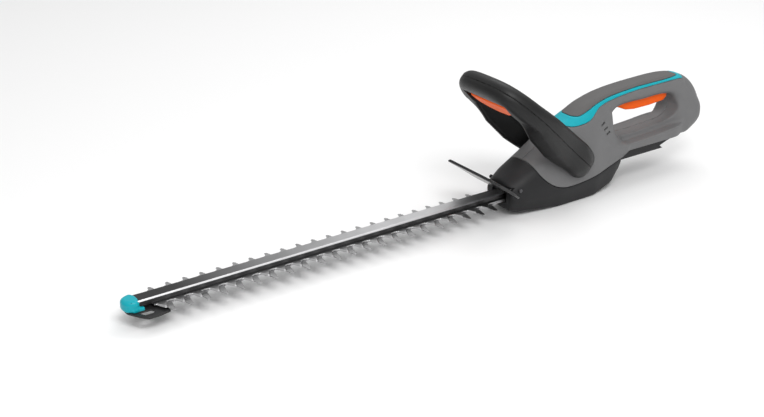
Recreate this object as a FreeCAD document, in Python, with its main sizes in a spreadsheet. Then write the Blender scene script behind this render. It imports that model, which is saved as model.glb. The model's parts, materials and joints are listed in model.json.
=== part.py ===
import FreeCAD, Part
import math
import os
import Sketcher

# Cordless hedge trimmer, millimetres.
# Frame: origin on the flat underside, straight below the axis of the drive gear.
# +X runs back towards the operator, the blades point to -X, +Y is the operator's
# left looking along the blades, +Z is up.

V = FreeCAD.Vector
ORIGIN = V(0, 0, 0)
UP = V(0, 0, 1)
DOWN = V(0, 0, -1)
SIDEWAYS = V(0, 1, 0)

DIMS = {
    # blades
    "pitch": 22.0,
    "tooth_count": 22.0,
    "first_tooth_x": -579.75,
    "blade_half": 12.4,
    "blade_thick": 2.0,
    "blade_gap": 0.1,
    "blade_level": 22.0,
    "long_reach": 33.0,
    "short_reach": 24.5,
    "tooth_root": 14.5,
    "tooth_tip": 5.0,
    "stroke_half": 5.5,
    "rest_offset": 2.75,
    # beam that carries the blades
    "beam_front": -617.5,
    "beam_rear": -36.0,
    "beam_half": 9.3,
    "beam_bottom": 24.2,
    "beam_top": 31.5,
    "beam_bevel": 1.6,
    # guide stations along the beam
    "station_first": -562.0,
    "station_step": 86.0,
    "station_count": 6.0,
    "sleeve_outer": 4.0,
    "guide_bolt": 2.5,
    # drive
    "tooth_module": 1.0,
    "gear_teeth": 56.0,
    "pinion_teeth": 10.0,
    "motor_x": 33.3,
    "shaft_radius": 3.0,
    "cam_radius": 10.0,
    "running_fit": 0.04,
    "plate_bottom": 31.6,
    "plate_thick": 2.5,
    "gear_level": 36.0,
    "gear_face": 7.0,
    "motor_seat": 50.0,
    "motor_length": 46.0,
    "motor_radius": 18.0,
    "spindle_radius": 1.6,
    # housing
    "wall": 3.0,
    "grip_half": 17.0,
    "strut_half": 34.0,
    "cheek_half": 24.0,
    "trim_thick": 4.0,
    # front handle
    "lean": 41.8,
    "loop_root_x": 17.0,
    "loop_root_z": 64.0,
    "bar_half": 14.0,
    "leg_half": 22.0,
    # switches
    "trigger_half": 7.0,
    "trigger_pivot_x": 113.0,
    "trigger_pivot_z": 117.0,
    "pin_radius": 2.0,
}

DOC = FreeCAD.newDocument("hedge_trimmer")
SHEET = DOC.addObject("Spreadsheet::Sheet", "Dims")
for row, (alias, number) in enumerate(DIMS.items(), 1):
    SHEET.set(f"A{row}", alias)
    SHEET.set(f"B{row}", str(number))
    SHEET.setAlias(f"B{row}", alias)
DOC.recompute()

NODES = []


# ---------------------------------------------------------------- helpers


def keep(obj, label):
    """Marks an object as a finished sub-part with its own label."""
    obj.Label = label
    NODES.append(obj)
    return obj


def bind(obj, prop, size):
    """Ties a property to a sheet expression, or sets a plain number."""
    if isinstance(size, str):
        obj.setExpression(prop, size)
    else:
        setattr(obj, prop, size)


def rule(name):
    return "Dims." + name


def place(obj, at=ORIGIN, axis=UP, spin=0.0):
    """Puts a primitive at a point with its own Z turned onto an axis."""
    turn = FreeCAD.Rotation(UP, axis).multiply(FreeCAD.Rotation(UP, spin))
    obj.Placement = FreeCAD.Placement(at, turn)
    return obj


def cylinder(radius, height, at=ORIGIN, axis=UP, angle=360.0, spin=0.0):
    rod = DOC.addObject("Part::Cylinder", "rod")
    bind(rod, "Radius", radius)
    bind(rod, "Height", height)
    rod.Angle = angle
    return place(rod, at, axis, spin)


def box(size, at):
    block = DOC.addObject("Part::Box", "block")
    for prop, length in zip(("Length", "Width", "Height"), size):
        bind(block, prop, length)
    return place(block, at)


def fuse(pieces):
    joined = DOC.addObject("Part::MultiFuse", "joined")
    joined.Shapes = pieces
    return joined


def cut(base, tool):
    rest = DOC.addObject("Part::Cut", "rest")
    rest.Base = base
    rest.Tool = tool
    return rest


def group(pieces):
    """Several separate solids in one node."""
    bundle = DOC.addObject("Part::Compound", "bundle")
    bundle.Links = pieces
    return bundle


def ring(outer, inner, height, at, axis=UP):
    bore = cylinder(inner, height, at, axis)
    return cut(cylinder(outer, height, at, axis), bore)


def screw(at, axis, head_radius, head_height, shank_radius, shank_length):
    """Pan head with its shank: the head's seat is at the point, the shank runs along -axis."""
    head = cylinder(head_radius, head_height, at, axis)
    shank = cylinder(shank_radius, shank_length, at - axis * shank_length, axis)
    return fuse([head, shank])


def new_body(label):
    body = DOC.addObject("PartDesign::Body", label)
    return keep(body, label)


def sketch(body, role, offset=None):
    """An empty sketch on an origin plane of the body, moved along the plane's normal."""
    plane = next(f for f in body.Origin.OriginFeatures if f.Role == role)
    drawing = body.newObject("Sketcher::SketchObject", "sketch")
    drawing.AttachmentSupport = [(plane, "")]
    drawing.MapMode = "FlatFace"
    if isinstance(offset, str):
        drawing.setExpression("AttachmentOffset.Base.z", offset)
    elif offset is not None:
        drawing.AttachmentOffset = FreeCAD.Placement(V(0, 0, offset), FreeCAD.Rotation())
    return drawing


def fix(drawing, kind, spot, length, start):
    constraint = drawing.addConstraint(Sketcher.Constraint(kind, -1, 1, *spot, start))
    if isinstance(length, str):
        drawing.setExpression(f"Constraints[{constraint}]", length)
    else:
        drawing.setDatum(constraint, float(length))


def polygon(drawing, corners):
    """A closed outline of straight lines, each corner fixed by two dimensions."""
    first = drawing.GeometryCount
    count = len(corners)
    angles = [2 * math.pi * i / count + 3.9 for i in range(count)]
    start = [V(50 * math.cos(a), 50 * math.sin(a), 0) for a in angles]
    for i in range(count):
        drawing.addGeometry(Part.LineSegment(start[i], start[(i + 1) % count]))
    for i in range(count):
        after = first + (i + 1) % count
        drawing.addConstraint(Sketcher.Constraint("Coincident", first + i, 2, after, 1))
    for i, (across, along) in enumerate(corners):
        fix(drawing, "DistanceX", (first + i, 1), across, start[i].x)
        fix(drawing, "DistanceY", (first + i, 1), along, start[i].y)


def circle(drawing, across, along, radius):
    index = drawing.addGeometry(Part.Circle(V(across, along, 0), UP, 5))
    constraint = drawing.addConstraint(Sketcher.Constraint("Radius", index, 5))
    if isinstance(radius, str):
        drawing.setExpression(f"Constraints[{constraint}]", radius)
    else:
        drawing.setDatum(constraint, float(radius))


def curve(drawing, points):
    """A smooth closed outline through a few points."""
    line = Part.BSplineCurve()
    line.interpolate([V(across, along, 0) for across, along in points], PeriodicFlag=True)
    drawing.addGeometry(line)


def rectangle(drawing, low, high):
    (west, south), (east, north) = low, high
    polygon(drawing, [(west, south), (east, south), (east, north), (west, north)])


def extrude(body, kind, drawing, length, both=False, back=False, taper=0.0):
    feature = body.newObject("PartDesign::" + kind, kind.lower())
    feature.Profile = drawing
    bind(feature, "Length", length)
    feature.Midplane = both
    feature.Reversed = back
    feature.TaperAngle = taper
    drawing.Visibility = False
    return feature


def pad(body, drawing, length, **how):
    return extrude(body, "Pad", drawing, length, **how)


def pocket(body, drawing, length, **how):
    return extrude(body, "Pocket", drawing, length, **how)


def repeat_along(body, feature, role, step, count):
    """A linear pattern along an origin axis of the body, made the body's tip."""
    axis = next(f for f in body.Origin.OriginFeatures if f.Role == role)
    row_of = body.newObject("PartDesign::LinearPattern", "row_of")
    row_of.Originals = [feature]
    row_of.Direction = (axis, [""])
    row_of.setExpression("Occurrences", count)
    row_of.setExpression("Length", f"{step} * ({count} - 1)")
    body.Tip = row_of
    return row_of


def repeat_around(body, feature, count):
    """A polar pattern about the body's Z axis, made the body's tip."""
    axis = next(f for f in body.Origin.OriginFeatures if f.Role == "Z_Axis")
    wheel = body.newObject("PartDesign::PolarPattern", "wheel")
    wheel.Originals = [feature]
    wheel.Axis = (axis, [""])
    wheel.Angle = 360
    wheel.setExpression("Occurrences", count)
    body.Tip = wheel
    return wheel


# ---------------------------------------------------------------- blades

# Screws up into the beam: under the gear plate, and side by side in the tip.
BEAM_SCREWS = (-78.0, -50.0)
TIP_SCREWS_X = -611.5
TIP_SCREWS_Y = (-5.0, 5.0)
TIP_PLATE = 17.0
TIP_PLATE_THICK = 2.4
TIP_CAP_HEIGHT = 14.6
# Washer, sleeve and bolt head at each guide station.
SLEEVE_BOTTOM = 19.85
WASHER_RADIUS = 7.5
WASHER_THICK = 1.4
BOLT_HEAD_RADIUS = 4.4
BOLT_HEAD = 3.2
BOLT_DEPTH = 5.5


def beam_outline():
    """Section of the beam: two long bevels along its top edges."""
    half, low, high, bevel = (
        "Dims.beam_half", "Dims.beam_bottom", "Dims.beam_top", "Dims.beam_bevel",
    )
    right = [(half, low), (half, f"{high} - {bevel}"), (f"{half} - {bevel}", high)]
    left = [(f"-({across})", level) for across, level in reversed(right)]
    return right + left


def stations():
    count = int(DIMS["station_count"])
    return [DIMS["station_first"] + DIMS["station_step"] * i for i in range(count)]


def tooth(centre, side, reach, centre_rule):
    """Corners of one tooth that stands out of a blade's edge on one side."""
    root = f"{side} * (Dims.blade_half - 1)"
    flank = f"{side} * (Dims.blade_half + 3.5)"
    neck = f"{side} * (Dims.{reach} - 1.6)"
    tip = f"{side} * Dims.{reach}"
    return [
        (f"{centre_rule} - Dims.tooth_root / 2", root),
        (f"{centre_rule} + Dims.tooth_root / 2", root),
        (f"{centre_rule} + Dims.tooth_root * 0.37", flank),
        (f"{centre_rule} + Dims.tooth_tip / 2", neck),
        (f"{centre_rule} + Dims.tooth_tip * 0.22", tip),
        (f"{centre_rule} - Dims.tooth_tip * 0.22", tip),
        (f"{centre_rule} - Dims.tooth_tip / 2", neck),
        (f"{centre_rule} - Dims.tooth_root * 0.37", flank),
    ]


def blade(label, level, shift, reach, taper):
    """A flat steel blade: slotted strip, two rows of teeth and the yoke round its cam."""
    body = new_body(label)
    moved = f"{shift} * Dims.rest_offset"
    front = f"Dims.first_tooth_x + {moved} - Dims.tooth_root / 2 - 2"
    strip = sketch(body, "XY_Plane", level)
    rectangle(strip, (front, "-Dims.blade_half"), (-20, "Dims.blade_half"))
    pad(body, strip, rule("blade_thick"))

    yoke = sketch(body, "XY_Plane", level)
    west, east = f"{moved} - 28", f"{moved} + 28"
    polygon(yoke, [
        (west, -15), (f"{moved} - 21", -22), (f"{moved} + 21", -22), (east, -15),
        (east, 15), (f"{moved} + 21", 22), (f"{moved} - 21", 22), (west, 15),
    ])
    pad(body, yoke, rule("blade_thick"))
    window = sketch(body, "XY_Plane", level)
    clear_x = "(2 * Dims.stroke_half + Dims.cam_radius + 0.6)"
    clear_y = "(Dims.stroke_half + Dims.cam_radius + 0.6)"
    rectangle(window, (f"{moved} - {clear_x}", f"-{clear_y}"), (f"{moved} + {clear_x}", clear_y))
    pocket(body, window, rule("blade_thick"), back=True)

    half_slot = "(Dims.stroke_half + Dims.sleeve_outer + 0.4)"
    half_width = "(Dims.sleeve_outer + 0.05)"
    middle = f"(Dims.station_first + {moved})"
    slot = sketch(body, "XY_Plane", level)
    ends = (f"{middle} - {half_slot}", f"{middle} + {half_slot}")
    rectangle(slot, (ends[0], f"-{half_width}"), (ends[1], half_width))
    opened = pocket(body, slot, rule("blade_thick"), back=True)
    repeat_along(body, opened, "X_Axis", rule("station_step"), rule("station_count"))

    centre = f"(Dims.first_tooth_x + {moved})"
    under = taper < 0
    teeth = sketch(body, "XY_Plane", f"{level} + Dims.blade_thick" if under else level)
    for side in (-1, 1):
        polygon(teeth, tooth(0, side, reach, centre))
    cutters = pad(body, teeth, rule("blade_thick"), back=under, taper=-abs(taper))
    repeat_along(body, cutters, "X_Axis", rule("pitch"), rule("tooth_count"))
    return body


def blades():
    lower_level = "Dims.blade_level - Dims.blade_gap / 2 - Dims.blade_thick"
    upper_level = "Dims.blade_level + Dims.blade_gap / 2"
    blade("lower_blade", lower_level, 1, "long_reach", -20.0)
    blade("upper_blade", upper_level, -1, "short_reach", 20.0)


def blade_beam():
    body = new_body("blade_beam")
    profile = sketch(body, "YZ_Plane", rule("beam_front"))
    polygon(profile, beam_outline())
    pad(body, profile, "Dims.beam_rear - Dims.beam_front")
    bolts = [(x, 0, rule("guide_bolt"), BOLT_DEPTH) for x in stations()]
    bolts += [(x, 0, 2.0, 8.0) for x in BEAM_SCREWS]
    bolts += [(TIP_SCREWS_X, y, 1.5, 5.0) for y in TIP_SCREWS_Y]
    for x, y, radius, depth in bolts:
        hole = sketch(body, "XY_Plane", rule("beam_bottom"))
        circle(hole, x, y, radius)
        pocket(body, hole, depth, back=True)


def blade_guides():
    """Sleeves through the blades' slots, with a washer and a bolt from below at each."""
    height = DIMS["beam_bottom"] - SLEEVE_BOTTOM
    seat = SLEEVE_BOTTOM - WASHER_THICK
    bore = rule("guide_bolt")
    sleeves = [ring(rule("sleeve_outer"), bore, height, V(x, 0, SLEEVE_BOTTOM)) for x in stations()]
    keep(group(sleeves), "blade_sleeves")
    washers = [ring(WASHER_RADIUS, bore, WASHER_THICK, V(x, 0, seat)) for x in stations()]
    keep(group(washers), "blade_washers")
    length = DIMS["beam_bottom"] + BOLT_DEPTH - seat
    bolts = [
        screw(V(x, 0, seat), DOWN, BOLT_HEAD_RADIUS, BOLT_HEAD, bore, length) for x in stations()
    ]
    keep(group(bolts), "blade_bolts")


def tip_guard():
    """Plate under the blades' ends with a slot to hang by, and the cap over the beam's end."""
    plate = new_body("tip_plate")
    outline = sketch(plate, "XY_Plane", TIP_PLATE)
    curve_side = [(-577.0, 12.0), (-575.5, 19.0), (-579.0, 27.0), (-592.0, 30.0), (-606.5, 30.5)]
    corners = [(-622.0, 6.0)] + [(-613.5, 22.0)] + curve_side[::-1] + [(-584.0, 8.0)]
    polygon(outline, corners + [(x, -y) for x, y in reversed(corners)])
    pad(plate, outline, TIP_PLATE_THICK)
    for side in (-1, 1):
        hang = sketch(plate, "XY_Plane", TIP_PLATE)
        polygon(hang, [
            (-611.5, 15 * side), (-609.0, 12.4 * side), (-596.0, 14.2 * side),
            (-593.5, 17.0 * side), (-597.0, 19.4 * side), (-608.5, 18.0 * side),
        ])
        pocket(plate, hang, TIP_PLATE_THICK, back=True)
    for y in TIP_SCREWS_Y:
        hole = sketch(plate, "XY_Plane", TIP_PLATE)
        circle(hole, TIP_SCREWS_X, y, 1.5)
        pocket(plate, hole, TIP_PLATE_THICK, back=True)

    cap = new_body("tip_cap")
    dome = sketch(cap, "XY_Plane", TIP_PLATE + TIP_PLATE_THICK)
    polygon(dome, [
        (-604.5, -13.0), (-604.5, 13.0), (-616.0, 12.4), (-623.0, 8.4), (-626.0, 3.0),
        (-626.0, -3.0), (-623.0, -8.4), (-616.0, -12.4),
    ])
    pad(cap, dome, TIP_CAP_HEIGHT)
    seat = sketch(cap, "YZ_Plane", rule("beam_front"))
    polygon(seat, beam_outline())
    pocket(cap, seat, 20, back=True)
    for y in TIP_SCREWS_Y:
        hole = sketch(cap, "XY_Plane", TIP_PLATE + TIP_PLATE_THICK)
        circle(hole, TIP_SCREWS_X, y, 1.5)
        pocket(cap, hole, 4.8, back=True)

    seats = [V(TIP_SCREWS_X, y, TIP_PLATE) for y in TIP_SCREWS_Y]
    ends = [screw(spot, DOWN, 2.8, 1.6, 1.5, 12.0) for spot in seats]
    keep(group(ends), "tip_screws")


# ---------------------------------------------------------------- drive

# Screws that hold the gear case on the gear plate, and posts of the lower cover under it.
CASE_LUGS = ((-29.5, -22.5), (-29.5, 22.5), (44.0, -22.0), (44.0, 22.0))
TUB_POSTS = ((-22.0, -28.5), (-22.0, 28.5), (40.0, -28.5), (40.0, 28.5))


def toothed(label, teeth, width_rule, level, at, bore, phase=0.0):
    """A spur gear: root disc, one tooth and its polar pattern, bore cut last."""
    body = new_body(label)
    count = DIMS[teeth]
    pitch_radius = count * DIMS["tooth_module"] / 2
    root, top = pitch_radius - 1.25, pitch_radius + 0.85
    disc = sketch(body, "XY_Plane")
    circle(disc, 0, 0, root)
    pad(body, disc, width_rule)
    outline = sketch(body, "XY_Plane")
    polygon(outline, [
        (root - 0.6, -0.95), (root + 0.1, -0.95), (pitch_radius, -0.7), (top, -0.34),
        (top, 0.34), (pitch_radius, 0.7), (root + 0.1, 0.95), (root - 0.6, 0.95),
    ])
    single = pad(body, outline, width_rule)
    repeat_around(body, single, rule(teeth))
    hole = sketch(body, "XY_Plane")
    circle(hole, 0, 0, bore)
    pocket(body, hole, width_rule, back=True)
    body.Placement = FreeCAD.Placement(at + UP * level, FreeCAD.Rotation(UP, phase))
    return body


def cam(label, level, side, hub_low, hub_high):
    """An eccentric disc on the gear shaft with a hub beside it."""
    phase = math.acos(DIMS["rest_offset"] / DIMS["stroke_half"])
    throw = V(math.cos(phase), -math.sin(phase), 0) * DIMS["stroke_half"] * side
    disc = cylinder(rule("cam_radius"), rule("blade_thick"), throw + UP * level)
    hub = cylinder(5, hub_high - hub_low, UP * hub_low)
    bore = cylinder(rule("shaft_radius"), 30, UP * 10)
    keep(cut(fuse([disc, hub]), bore), label)


def drive():
    shaft = cylinder(rule("shaft_radius"), 38.2, UP * 9.2)
    keep(shaft, "gear_shaft")
    level, gap, thick = DIMS["blade_level"], DIMS["blade_gap"], DIMS["blade_thick"]
    cam("lower_cam", level - gap / 2 - thick, 1, 14.3, level)
    cam("upper_cam", level + gap / 2, -1, level, 29.3)
    gear = toothed("drive_gear", "gear_teeth", rule("gear_face"), DIMS["gear_level"], ORIGIN,
                   rule("shaft_radius"))
    ribs = sketch(gear, "XY_Plane", rule("gear_face"))
    circle(ribs, 0, 0, 22.0)
    circle(ribs, 0, 0, 8.0)
    pocket(gear, ribs, 2.0)
    turn = 180.0 / DIMS["pinion_teeth"]
    toothed("motor_pinion", "pinion_teeth", "Dims.gear_face + 1.5", DIMS["gear_level"] - 0.5,
            V(DIMS["motor_x"], 0, 0), rule("spindle_radius"), turn)
    fit = "Dims.shaft_radius + Dims.running_fit"
    keep(ring(8, fit, 4.5, UP * 29.6), "upper_bearing")
    keep(ring(8, fit, 5.0, UP * 9.0), "lower_bearing")


def gear_plate():
    """Steel plate over the beam: it holds the beam, the gear case and the upper bearing."""
    body = new_body("gear_plate")
    outline = sketch(body, "XY_Plane", rule("plate_bottom"))
    polygon(outline, [
        (-81.5, -13), (-60, -18), (-36, -32.5), (50, -32.5),
        (50, 32.5), (-36, 32.5), (-60, 18), (-81.5, 13),
    ])
    pad(body, outline, rule("plate_thick"))
    holes = sketch(body, "XY_Plane", rule("plate_bottom"))
    circle(holes, 0, 0, 8.0)
    for x in BEAM_SCREWS:
        circle(holes, x, 0, 2.0)
    for x, y in CASE_LUGS:
        circle(holes, x, y, 1.9)
    for x, y in TUB_POSTS:
        circle(holes, x, y, 2.0)
    pocket(body, holes, rule("plate_thick"), back=True)

    top = DIMS["plate_bottom"] + DIMS["plate_thick"]
    beam_screws = [screw(V(x, 0, top), UP, 3.8, 2.6, 2.0, 9.5) for x in BEAM_SCREWS]
    keep(group(beam_screws), "beam_screws")


def gear_case():
    """Cast cover over the gear that also carries the motor."""
    base = DIMS["plate_bottom"] + DIMS["plate_thick"]
    seat = DIMS["motor_seat"]
    motor = V(DIMS["motor_x"], 0, base)
    lugs = [cylinder(5, 6, V(x, y, base)) for x, y in CASE_LUGS]
    outer = fuse([cylinder(33, seat - base, UP * base), cylinder(20, seat - base, motor)] + lugs)
    room = 12.0
    hollow = [
        cylinder(30.3, room, UP * base),
        cylinder(7.5, room, motor),
        cylinder("Dims.shaft_radius + Dims.running_fit", 14, UP * base),
        cylinder(4, seat - base, motor),
    ]
    bores = [cylinder(1.9, 6, V(x, y, base)) for x, y in CASE_LUGS]
    keep(cut(outer, fuse(hollow + bores)), "gear_case")
    screws = [screw(V(x, y, base + 6), UP, 3.6, 2.4, 1.9, 8.5) for x, y in CASE_LUGS]
    keep(group(screws), "gear_case_screws")


def motor():
    centre = V(DIMS["motor_x"], 0, 0)
    seat, length = DIMS["motor_seat"], DIMS["motor_length"]
    low = centre + UP * seat
    inside = low + UP * 2
    hollow = [cylinder("Dims.motor_radius - 1.5", length, inside), cylinder(5, 4, low)]
    keep(cut(cylinder(rule("motor_radius"), rule("motor_length"), low), fuse(hollow)), "motor_can")
    top = low + UP * length
    cap = cut(cylinder(rule("motor_radius"), 4, top), cylinder(5, 4, top))
    keep(cap, "motor_end_cap")
    fit = "Dims.spindle_radius + Dims.running_fit"
    bushings = [ring(5, fit, 3, low), ring(5, fit, 3, top + UP)]
    keep(group(bushings), "motor_bushings")
    keep(cylinder(rule("spindle_radius"), 65.5, centre + UP * 35.2), "motor_spindle")
    core = length - 12
    keep(ring(12, rule("spindle_radius"), core, low + UP * 6), "motor_rotor")
    halves = []
    for spin in (30.0, 210.0):
        outside = cylinder("Dims.motor_radius - 1.5", core, low + UP * 6, angle=120.0, spin=spin)
        inner = cylinder(12.8, core, low + UP * 6, angle=120.0, spin=spin)
        halves.append(cut(outside, inner))
    keep(group(halves), "motor_magnets")


# ---------------------------------------------------------------- housing

# Sections of the body along X: place, half-width, underside, chine above the tucked
# skirt, shoulder height, half-width at the top, top height.
SECTIONS = (
    (-85.0, 28.0, 13.0, 27.0, 34.0, 17.0, 47.0),
    (-67.0, 34.5, 8.0, 26.5, 40.0, 22.0, 57.0),
    (-32.0, 38.5, 4.0, 25.0, 52.0, 22.0, 76.0),
    (-8.0, 40.0, 0.0, 25.0, 56.0, 21.0, 93.0),
    (13.0, 40.0, 0.0, 26.5, 60.0, 20.0, 108.0),
    (55.0, 40.0, 0.0, 31.5, 60.0, 18.0, 126.0),
    (92.0, 36.0, 9.0, 42.0, 54.0, 16.0, 128.0),
    (108.0, 33.0, 28.0, 46.0, 52.0, 16.0, 72.0),
)
TUCK = 6.0
# Line between the dark lower cover and the grey halves, seen from the side.
PARTING = (
    (-50.0, 90.0), (-48.0, 66.0), (-40.0, 50.0), (-24.0, 36.5), (-7.0, 30.0), (14.0, 28.5),
    (46.0, 31.5), (79.0, 38.0), (125.0, 48.0),
)
# Outer contour of the closed rear handle and its hand hole, seen from the side.
REAR_LOOP = (
    (14.0, 98.0), (38.0, 121.0), (72.0, 133.0), (110.0, 138.0), (165.0, 140.0), (217.0, 138.0),
    (246.0, 129.0), (267.0, 109.0), (275.0, 86.0), (268.0, 64.0), (248.0, 52.0), (215.0, 52.0),
    (160.0, 52.0), (100.0, 52.0), (50.0, 52.0), (20.0, 70.0),
)
HAND_HOLE = (
    (94.0, 90.0), (99.0, 104.0), (114.0, 110.5), (160.0, 111.5), (204.0, 111.0), (220.0, 104.0),
    (224.0, 91.0), (215.0, 78.0), (188.0, 72.0), (145.0, 70.0), (112.0, 72.0), (98.0, 79.0),
)
# Underside line of the coloured trim on the grip.
TRIM_LINE = (
    (6.0, 112.0), (26.0, 105.0), (50.0, 110.0), (72.0, 121.0), (99.0, 127.0), (146.0, 131.0),
    (217.0, 131.5), (236.0, 129.0),
)
GRIP_FRONT, GRIP_REAR = 24.0, 226.0
# Screws that clamp the halves: x, z, reach of the seat and half-length of the boss.
CLAMPS = (
    (-2.0, 84.0, 12.0, 25.0), (252.0, 108.0, 10.0, 14.0), (252.0, 66.0, 10.0, 14.0),
    (122.0, 61.0, 10.0, 14.0), (-30.0, 62.0, 20.0, 31.0), (81.0, 64.0, 20.0, 32.0),
)
# Tongues of the hand guard in the nose and the screws that hold them.
TONGUE_LOW = 36.5
GUARD_SCREW_X = -74.0
GUARD_SEAT = 29.5


def section_corners(section, inset):
    _, half, low, chine, shoulder, half_top, high = section
    half, low, half_top, high = half - inset, low + inset, half_top - inset, high - inset
    right = [(half - TUCK, low), (half, chine), (half, shoulder), (half_top, high)]
    return right + [(-y, z) for y, z in reversed(right)]


def loft(body, kind, inset=0.0, ends=0.0):
    drawings = []
    for index, section in enumerate(SECTIONS):
        x = section[0]
        if index == 0:
            x += ends
        if index == len(SECTIONS) - 1:
            x -= ends
        drawing = sketch(body, "YZ_Plane", x)
        polygon(drawing, section_corners(section, inset))
        drawings.append(drawing)
    feature = body.newObject("PartDesign::" + kind, kind.lower())
    feature.Profile = drawings[0]
    feature.Sections = drawings[1:]
    feature.Ruled = True
    return feature


def lower_cover():
    """Dark tub: nose, skirt and floor, with posts up to the gear plate."""
    body = new_body("lower_cover")
    loft(body, "AdditiveLoft")
    above = sketch(body, "XZ_Plane")
    polygon(above, list(PARTING) + [(125.0, 200.0), (-50.0, 200.0)])
    pocket(body, above, 120, both=True)
    loft(body, "SubtractiveLoft", inset=DIMS["wall"], ends=DIMS["wall"])
    lip = sketch(body, "XY_Plane", 10.0)
    polygon(lip, [(-96, -14), (-83, -24), (-83, 24), (-96, 14)])
    pad(body, lip, 7)
    mouth = sketch(body, "YZ_Plane", -98.0)
    rectangle(mouth, (-13.6, 18.4), (13.6, 32.4))
    for side in (-1, 1):
        rectangle(mouth, (side * 17 - 5.2, TONGUE_LOW - 0.2), (side * 17 + 5.2, TONGUE_LOW + 4.2))
    pocket(body, mouth, 40, back=True)
    for side in (-1, 1):
        recess = sketch(body, "XZ_Plane", side * GUARD_SEAT)
        circle(recess, GUARD_SCREW_X, TONGUE_LOW + 2, 2.8)
        pocket(body, recess, 20, back=side > 0)
        shank = sketch(body, "XZ_Plane", side * 20.0)
        circle(shank, GUARD_SCREW_X, TONGUE_LOW + 2, 1.5)
        pocket(body, shank, GUARD_SEAT - 19, back=side > 0)
    posts = sketch(body, "XY_Plane", 2.0)
    for x, y in TUB_POSTS:
        circle(posts, x, y, 5.2)
    pad(body, posts, "Dims.plate_bottom - 2")
    boss = sketch(body, "XY_Plane", 2.0)
    circle(boss, 0, 0, 11.0)
    pad(body, boss, 12)
    seat = sketch(body, "XY_Plane", 9.0)
    circle(seat, 0, 0, 8.0)
    pocket(body, seat, 5, back=True)
    shanks = sketch(body, "XY_Plane")
    heads = sketch(body, "XY_Plane")
    for x, y in TUB_POSTS:
        circle(shanks, x, y, 2.0)
        circle(heads, x, y, 3.8)
    pocket(body, shanks, "Dims.plate_bottom", back=True)
    pocket(body, heads, 6, back=True)
    length = DIMS["plate_bottom"] + DIMS["plate_thick"] - 6.0
    screws = [screw(V(x, y, 6.0), DOWN, 3.6, 2.6, 2.0, length) for x, y in TUB_POSTS]
    keep(group(screws), "cover_screws")


def housing_half(label, side):
    """One grey half shell: upper body, closed rear handle and the strut below it."""
    body = new_body(label)
    loft(body, "AdditiveLoft")
    rear = sketch(body, "XZ_Plane")
    curve(rear, REAR_LOOP)
    pad(body, rear, "2 * Dims.grip_half", both=True)
    strut = sketch(body, "XZ_Plane")
    polygon(strut, [
        (88.0, 52.0), (215.0, 52.0), (243.0, 58.0), (250.0, 66.0), (236.0, 73.0), (205.0, 69.0),
        (170.0, 66.0), (136.0, 64.0), (104.0, 62.0), (88.0, 64.0),
    ])
    pad(body, strut, "2 * Dims.strut_half", both=True)
    cheek = sketch(body, "XZ_Plane")
    polygon(cheek, [
        (200.0, 54.0), (250.0, 57.0), (264.0, 70.0), (268.0, 86.0), (262.0, 99.0), (246.0, 104.0),
        (214.0, 104.0),
    ])
    pad(body, cheek, "2 * Dims.cheek_half", both=True)
    hole = sketch(body, "XZ_Plane")
    curve(hole, HAND_HOLE)
    pocket(body, hole, 120, both=True)
    loft(body, "SubtractiveLoft", inset=DIMS["wall"], ends=DIMS["wall"])
    below = sketch(body, "XZ_Plane")
    polygon(below, list(PARTING) + [(125.0, -60.0), (-140.0, -60.0), (-140.0, 90.0)])
    pocket(body, below, 120, both=True)
    top = sketch(body, "XZ_Plane")
    polygon(top, list(TRIM_LINE) + [(236.0, 170.0), (6.0, 170.0)])
    pocket(body, top, 60, both=True)
    slot = sketch(body, "XZ_Plane")
    polygon(slot, [(105.0, 106.0), (216.0, 106.0), (216.0, 126.0), (105.0, 126.0)])
    pocket(body, slot, "2 * Dims.trigger_half + 2", both=True)
    rear_room = sketch(body, "XZ_Plane")
    curve(rear_room, [
        (231.0, 116.0), (244.0, 116.0), (257.0, 103.0), (264.0, 85.0), (258.0, 69.0), (246.0, 61.0),
        (238.0, 66.0), (231.0, 76.0), (235.0, 90.0), (231.0, 104.0),
    ])
    pocket(body, rear_room, 26, both=True)
    duct = sketch(body, "XZ_Plane")
    polygon(duct, [(108.0, 50.0), (232.0, 50.0), (232.0, 62.0), (210.0, 62.0), (108.0, 58.0)])
    pocket(body, duct, 58, both=True)
    room = sketch(body, "XZ_Plane")
    polygon(room, [(104.0, 114.5), (219.0, 114.5), (219.0, 126.0), (104.0, 126.0)])
    pocket(body, room, 26, both=True)
    for x, z, _, reach in CLAMPS:
        boss = sketch(body, "XZ_Plane")
        circle(boss, x, z, 4.8)
        pad(body, boss, 2 * reach, both=True)
    for x, z, seat, reach in CLAMPS:
        shank = sketch(body, "XZ_Plane", 12.0)
        circle(shank, x, z, 1.8)
        pocket(body, shank, 13.0 + seat)
        head = sketch(body, "XZ_Plane", -seat)
        circle(head, x, z, 3.7)
        pocket(body, head, 40)
    root = loop_point(0.0, ROOT_SCREW, 0.0)
    root_hole = sketch(body, "XZ_Plane")
    circle(root_hole, root.x, root.z, 2.5)
    pocket(body, root_hole, 100, both=True)
    pins = sketch(body, "XZ_Plane")
    circle(pins, DIMS["trigger_pivot_x"], DIMS["trigger_pivot_z"], rule("pin_radius"))
    pocket(body, pins, 30, both=True)
    if side < 0:
        for step in range(3):
            vent = sketch(body, "XZ_Plane", 8.0)
            x, z = 60.0 + 4.0 * step, 90.0 - 7.0 * step
            polygon(vent, [(x, z), (x + 9.0, z + 3.0), (x + 8.0, z + 5.6), (x - 1.0, z + 2.6)])
            pocket(body, vent, 40, back=True)
    other = sketch(body, "XZ_Plane")
    rectangle(other, (-150, -50), (300, 200))
    pocket(body, other, 80, back=side > 0)
    return body


def clamp_screws():
    screws = [
        screw(V(x, seat, z), SIDEWAYS, 3.5, 2.6, 1.8, seat + 11.5) for x, z, seat, _ in CLAMPS
    ]
    keep(group(screws), "housing_screws")


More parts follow.
